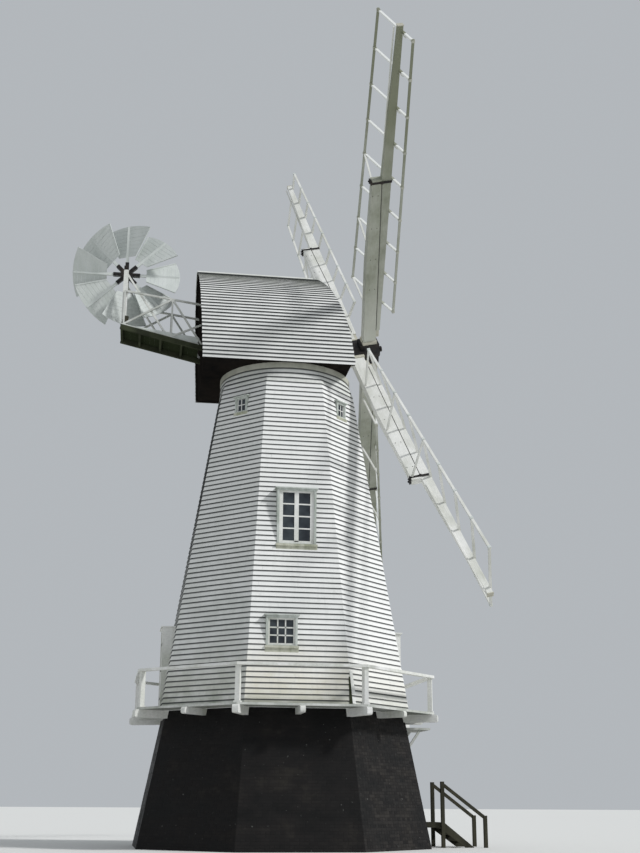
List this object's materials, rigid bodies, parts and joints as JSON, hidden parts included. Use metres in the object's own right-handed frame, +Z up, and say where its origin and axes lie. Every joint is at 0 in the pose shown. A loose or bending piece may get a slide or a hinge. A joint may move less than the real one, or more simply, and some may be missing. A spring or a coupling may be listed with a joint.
{
  "type": "traditional windmill",
  "caption": "Smock windmill: weatherboarded octagonal tower on a tarred brick base with a gallery, a turning cap, open sail frames and a fantail.",
  "frame": {"origin": "ground level on the tower's upright axis, at the underside of the base", "axes": "+Z up, the sails face -Y, turned 1.5 degrees toward -X with the cap, the fantail stands toward +Y"},
  "size_m": [16.6031, 11.4983, 21.7844],
  "materials": {
    "tarred_brick": "matte, tarred",
    "concrete_floor": "rough",
    "white_boards": "weathered white paint",
    "white_timber": "weathered white paint",
    "sail_timber": "worn white paint, lichen",
    "dark_timber": "dark stained",
    "bare_timber": "bare, dusty",
    "black_iron": "painted black",
    "window_glass": "clear"
  },
  "bodies": {
    "tower": {"ground_floor": "concrete_floor", "brick_wall_right": "tarred_brick", "brick_wall_rear_right": "tarred_brick", "brick_wall_rear": "tarred_brick", "brick_wall_rear_left": "tarred_brick", "brick_wall_left": "tarred_brick", "brick_wall_front_left": "tarred_brick", "brick_wall_front": "tarred_brick", "brick_wall_front_right": "tarred_brick", "entry_landing": "dark_timber", "entry_steps": "dark_timber", "entry_rails": "dark_timber", "door_hood": "dark_timber", "gallery_joists": "white_timber", "gallery_deck": "white_timber", "gallery_posts": "white_timber", "gallery_rail": "white_timber", "storey_floors": "bare_timber", "smock_wall_right": "white_boards", "smock_wall_rear_right": "white_boards", "smock_wall_rear": "white_boards", "smock_wall_rear_left": "white_boards", "smock_wall_left": "white_boards", "smock_wall_front_left": "white_boards", "smock_wall_front": "white_boards", "smock_wall_front_right": "white_boards", "smock_neck": "white_boards", "curb": "dark_timber", "window_casings": "white_timber", "window_sashes": "white_timber", "window_glass": "window_glass", "door_frames": "white_timber", "doors": "dark_timber"},
    "cap": {"cap_floor": "bare_timber", "cap_roof_right": "white_boards", "cap_roof_left": "white_boards", "cap_gable_front": "white_boards", "cap_gable_rear": "white_boards", "ridge_board": "white_timber", "shaft_beams": "bare_timber", "stage_spars": "dark_timber", "stage_deck": "white_timber", "fan_posts": "white_timber", "stage_rails": "white_timber", "fan_bearings": "black_iron"},
    "sails": {"windshaft": "black_iron", "poll_end": "black_iron", "striking_rod": "black_iron", "stock_clamps": "black_iron", "stock_outer": "sail_timber", "stock_inner": "sail_timber", "sail_up_right": "sail_timber", "sail_up_left": "sail_timber", "sail_down_left": "sail_timber", "sail_down_right": "sail_timber"},
    "fantail": {"fan_hub": "black_iron", "fan_blades": "white_timber"}
  },
  "joints": [
    {"name": "cap_turn", "type": "hinge", "parent": "tower", "child": "cap", "pos_m": [0, 0, 12.45], "axis": [0, 0, 1], "continuous": true},
    {"name": "sails_turn", "type": "hinge", "parent": "cap", "child": "sails", "pos_m": [-0.05825, -2.19523, 13.562], "axis": [-0.0259, -0.9747, 0.2222], "continuous": true},
    {"name": "fantail_turn", "type": "hinge", "parent": "cap", "child": "fantail", "pos_m": [0.12202, 4.59838, 15.5], "axis": [0.9996, -0.0265, 0], "continuous": true}
  ]
}
